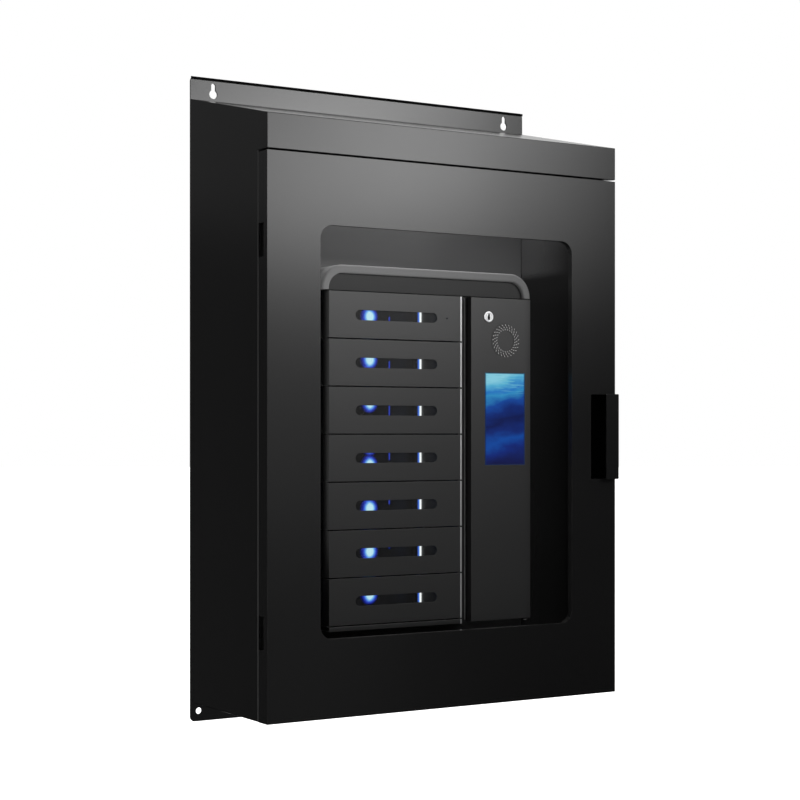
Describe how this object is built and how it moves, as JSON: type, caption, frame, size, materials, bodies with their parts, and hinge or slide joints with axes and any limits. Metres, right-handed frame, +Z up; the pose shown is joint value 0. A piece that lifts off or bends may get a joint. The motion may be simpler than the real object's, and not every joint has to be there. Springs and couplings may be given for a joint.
{
  "type": "wall cabinet with phone charging locker",
  "caption": "Wall-hung steel security cabinet with a windowed hinged door, holding a charging locker with small hinged phone bays and a control column with screen, speaker and cam lock.",
  "frame": {"origin": "on the wall face of the back plate, on the centre line, level with the underside of the cabinet", "axes": "+Z up, +Y into the wall, +X from the hinge side to the pull side; the front looks along -Y"},
  "size_m": [0.685, 0.294, 1.086],
  "materials": {
    "cabinet_paint": "satin black powder coat",
    "locker_paint": "matte charcoal powder coat",
    "rim_paint": "satin grey",
    "plated_steel": "zinc plated",
    "housing_aluminium": "mill",
    "lock_chrome": "bright",
    "black_plastic": "fine grain",
    "rubber": "matte",
    "smoked_pane": "clear, lightly smoked",
    "bay_light": "diffuser",
    "screen": "lit panel",
    "circuit_board": "solder mask"
  },
  "bodies": {
    "cabinet": {"back_plate": "cabinet_paint", "cabinet_shell": "cabinet_paint", "front_frame": "cabinet_paint", "door_hinge_bases": "plated_steel", "door_hinge_pins": "plated_steel", "catch_magnets": "black_plastic", "mounting_rails": "plated_steel", "power_supply": "housing_aluminium", "cable_grommet": "rubber", "locker_case": "locker_paint", "bay_shelves": "locker_paint", "bay_divider": "locker_paint", "mullion": "locker_paint", "bottom_filler": "locker_paint", "cap_rim": "rim_paint", "cap_plate": "locker_paint", "bay_lamps": "bay_light", "bay_light_bars": "bay_light", "charge_outlets": "black_plastic", "latch_modules": "black_plastic", "bay_hinge_rod": "plated_steel", "service_hinge_rod": "plated_steel", "control_board": "circuit_board", "case_screws": "plated_steel"},
    "door": {"door_panel": "cabinet_paint", "door_stiffeners": "cabinet_paint", "door_hinge_leaves": "plated_steel", "pull_plate": "cabinet_paint", "pull_cup": "black_plastic", "door_strikes": "plated_steel"},
    "bay_1": {"bay_door_1": "locker_paint", "bay_window_1": "smoked_pane"},
    "bay_2": {"bay_door_2": "locker_paint", "bay_window_2": "smoked_pane"},
    "bay_3": {"bay_door_3": "locker_paint", "bay_window_3": "smoked_pane"},
    "bay_4": {"bay_door_4": "locker_paint", "bay_window_4": "smoked_pane"},
    "bay_5": {"bay_door_5": "locker_paint", "bay_window_5": "smoked_pane"},
    "bay_6": {"bay_door_6": "locker_paint", "bay_window_6": "smoked_pane"},
    "bay_7": {"bay_door_7": "locker_paint", "bay_window_7": "smoked_pane"},
    "bolt_1": {"latch_bolt_1": "plated_steel"},
    "bolt_2": {"latch_bolt_2": "plated_steel"},
    "bolt_3": {"latch_bolt_3": "plated_steel"},
    "bolt_4": {"latch_bolt_4": "plated_steel"},
    "bolt_5": {"latch_bolt_5": "plated_steel"},
    "bolt_6": {"latch_bolt_6": "plated_steel"},
    "bolt_7": {"latch_bolt_7": "plated_steel"},
    "column": {"service_panel": "locker_paint", "display_module": "black_plastic", "screen_glass": "screen", "speaker": "black_plastic", "speaker_grille": "locker_paint", "lock_barrel": "lock_chrome"},
    "lock": {"lock_plug": "lock_chrome", "lock_cam": "plated_steel"}
  },
  "joints": [
    {"name": "door_hinge", "type": "hinge", "parent": "cabinet", "child": "door", "pos_m": [-0.3355, -0.2625, 0.447], "axis": [0, 0, -1], "range_deg": [0, 105]},
    {"name": "bay_hinge_1", "type": "hinge", "parent": "cabinet", "child": "bay_1", "pos_m": [-0.189, -0.199, 0.64645], "axis": [0, 0, -1], "range_deg": [0, 95]},
    {"name": "bay_hinge_2", "type": "hinge", "parent": "cabinet", "child": "bay_2", "pos_m": [-0.189, -0.199, 0.56815], "axis": [0, 0, -1], "range_deg": [0, 95]},
    {"name": "bay_hinge_3", "type": "hinge", "parent": "cabinet", "child": "bay_3", "pos_m": [-0.189, -0.199, 0.48985], "axis": [0, 0, -1], "range_deg": [0, 95]},
    {"name": "bay_hinge_4", "type": "hinge", "parent": "cabinet", "child": "bay_4", "pos_m": [-0.189, -0.199, 0.41155], "axis": [0, 0, -1], "range_deg": [0, 95]},
    {"name": "bay_hinge_5", "type": "hinge", "parent": "cabinet", "child": "bay_5", "pos_m": [-0.189, -0.199, 0.33325], "axis": [0, 0, -1], "range_deg": [0, 95]},
    {"name": "bay_hinge_6", "type": "hinge", "parent": "cabinet", "child": "bay_6", "pos_m": [-0.189, -0.199, 0.25495], "axis": [0, 0, -1], "range_deg": [0, 95]},
    {"name": "bay_hinge_7", "type": "hinge", "parent": "cabinet", "child": "bay_7", "pos_m": [-0.189, -0.199, 0.17665], "axis": [0, 0, -1], "range_deg": [0, 95]},
    {"name": "bolt_slide_1", "type": "slide", "parent": "cabinet", "child": "bolt_1", "axis": [-1, 0, 0], "range_m": [0, 0.008]},
    {"name": "bolt_slide_2", "type": "slide", "parent": "cabinet", "child": "bolt_2", "axis": [-1, 0, 0], "range_m": [0, 0.008]},
    {"name": "bolt_slide_3", "type": "slide", "parent": "cabinet", "child": "bolt_3", "axis": [-1, 0, 0], "range_m": [0, 0.008]},
    {"name": "bolt_slide_4", "type": "slide", "parent": "cabinet", "child": "bolt_4", "axis": [-1, 0, 0], "range_m": [0, 0.008]},
    {"name": "bolt_slide_5", "type": "slide", "parent": "cabinet", "child": "bolt_5", "axis": [-1, 0, 0], "range_m": [0, 0.008]},
    {"name": "bolt_slide_6", "type": "slide", "parent": "cabinet", "child": "bolt_6", "axis": [-1, 0, 0], "range_m": [0, 0.008]},
    {"name": "bolt_slide_7", "type": "slide", "parent": "cabinet", "child": "bolt_7", "axis": [-1, 0, 0], "range_m": [0, 0.008]},
    {"name": "column_hinge", "type": "hinge", "parent": "cabinet", "child": "column", "pos_m": [0.203, -0.206, 0.408], "axis": [0, 0, 1], "range_deg": [0, 90]},
    {"name": "lock_turn", "type": "hinge", "parent": "column", "child": "lock", "pos_m": [0.119, -0.2, 0.652], "axis": [0, 1, 0], "range_deg": [0, 90]}
  ]
}
